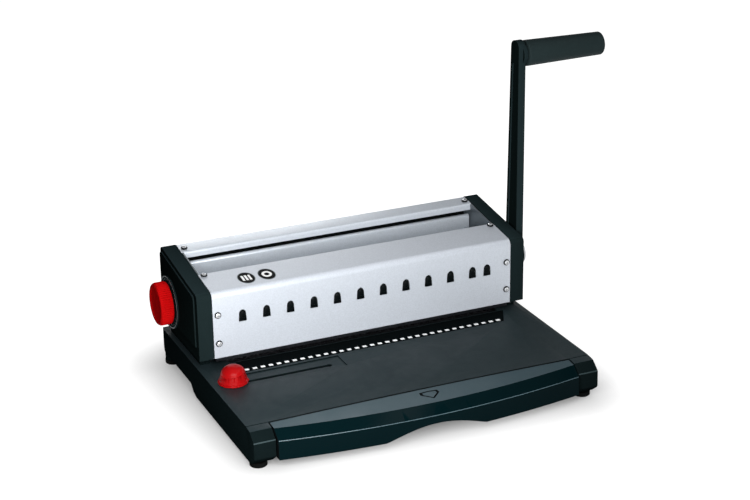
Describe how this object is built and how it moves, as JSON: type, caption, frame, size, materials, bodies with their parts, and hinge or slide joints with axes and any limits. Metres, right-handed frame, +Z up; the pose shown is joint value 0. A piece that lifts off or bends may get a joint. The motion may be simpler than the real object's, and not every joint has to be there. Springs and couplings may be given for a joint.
{
  "type": "wire binding machine",
  "caption": "Manual desk machine that punches a row of square holes along a sheet and closes a wire spine, with a side lever, a size knob and a chip drawer.",
  "frame": {"origin": "middle of the whole object's box, on the surface that its feet stand on", "axes": "+X along the row of holes towards the lever, +Y from the user to the back, +Z up"},
  "size_m": [0.4816, 0.2972, 0.3233],
  "materials": {
    "charcoal_plastic": "fine grained",
    "black_plastic": "fine grained",
    "gloss_plastic": "polished",
    "silver_paint": "metallic paint",
    "steel": "satin",
    "dark_steel": "oiled",
    "chrome": "polished",
    "red_plastic": "satin",
    "rubber": "matte",
    "grip_rubber": "soft"
  },
  "bodies": {
    "base": {"base_shell": "charcoal_plastic", "die_plate": "dark_steel", "stripper_plate": "dark_steel", "bottom_plate": "dark_steel", "return_spring": "dark_steel", "stop_guide": "dark_steel", "foot_front_left": "rubber", "foot_front_right": "rubber", "foot_rear_left": "rubber", "foot_rear_right": "rubber", "drawer_runner_left": "black_plastic", "drawer_runner_right": "black_plastic", "end_cap_left": "black_plastic", "end_cap_right": "black_plastic", "scale_strip": "black_plastic", "hook_strip": "black_plastic", "size_dial": "black_plastic", "chassis_plate_left": "steel", "chassis_plate_right": "steel", "paper_stop": "steel", "tie_rod_front": "steel", "tie_rod_rear": "steel", "trough_floor": "steel", "anvil_bar": "steel", "front_cover": "silver_paint", "rear_bar": "silver_paint", "rear_cover": "silver_paint", "shaft_bush_left": "chrome", "shaft_bush_right": "chrome", "front_upper_screw_left": "chrome", "front_lower_screw_left": "chrome", "cover_top_screw_left": "chrome", "rear_bar_screw_left": "chrome", "rear_cover_screw_left": "chrome", "front_upper_screw_right": "chrome", "front_lower_screw_right": "chrome", "cover_top_screw_right": "chrome", "rear_bar_screw_right": "chrome", "rear_cover_screw_right": "chrome"},
    "lever": {"lever_arm": "black_plastic", "drive_shaft": "steel", "crank_left": "dark_steel", "crank_right": "dark_steel", "pivot_cap": "chrome", "grip_axle": "steel"},
    "grip": {"grip": "grip_rubber"},
    "punch": {"punch_carrier": "dark_steel"},
    "closer": {"closer_bar": "silver_paint", "closer_fork_left": "steel", "closer_fork_right": "steel"},
    "size_knob": {"size_knob": "red_plastic", "knob_shaft": "steel", "gap_cam": "dark_steel"},
    "gap_stop": {"stop_slide": "dark_steel"},
    "edge_guide": {"edge_guide_knob": "red_plastic", "edge_guide_slider": "black_plastic"},
    "drawer": {"drawer_front": "gloss_plastic", "chip_tray": "gloss_plastic"}
  },
  "joints": [
    {"name": "lever_pivot", "type": "hinge", "parent": "base", "child": "lever", "pos_m": [0.14455, 0.05405, 0.0905], "axis": [1, 0, 0], "range_deg": [0, 80], "stiffness_Nm_per_rad": 1.2, "springref_deg": -20.05},
    {"name": "grip_spin", "type": "hinge", "parent": "lever", "child": "grip", "pos_m": [0.20055, 0.05305, 0.309], "axis": [1, 0, 0], "continuous": true},
    {"name": "punch_stroke", "type": "slide", "parent": "base", "child": "punch", "axis": [0, 0, -1], "range_m": [0, 0.012]},
    {"name": "closer_travel", "type": "slide", "parent": "base", "child": "closer", "axis": [0, -1, 0], "range_m": [0, 0.022]},
    {"name": "size_turn", "type": "hinge", "parent": "base", "child": "size_knob", "pos_m": [-0.23245, 0.10545, 0.0821], "axis": [1, 0, 0], "range_deg": [0, 270]},
    {"name": "gap_stop_travel", "type": "slide", "parent": "base", "child": "gap_stop", "axis": [0, -1, 0], "range_m": [0, 0.006]},
    {"name": "guide_slide", "type": "slide", "parent": "base", "child": "edge_guide", "axis": [1, 0, 0], "range_m": [0, 0.098]},
    {"name": "drawer_slide", "type": "slide", "parent": "base", "child": "drawer", "axis": [0, -1, 0], "range_m": [0, 0.12]}
  ],
  "couplings": [
    {"joint": "punch_stroke", "follows": "lever_pivot", "m_per_rad": 0.008594},
    {"joint": "closer_travel", "follows": "lever_pivot", "m_per_rad": 0.015756},
    {"joint": "gap_stop_travel", "follows": "size_turn", "m_per_rad": 0.001273}
  ]
}
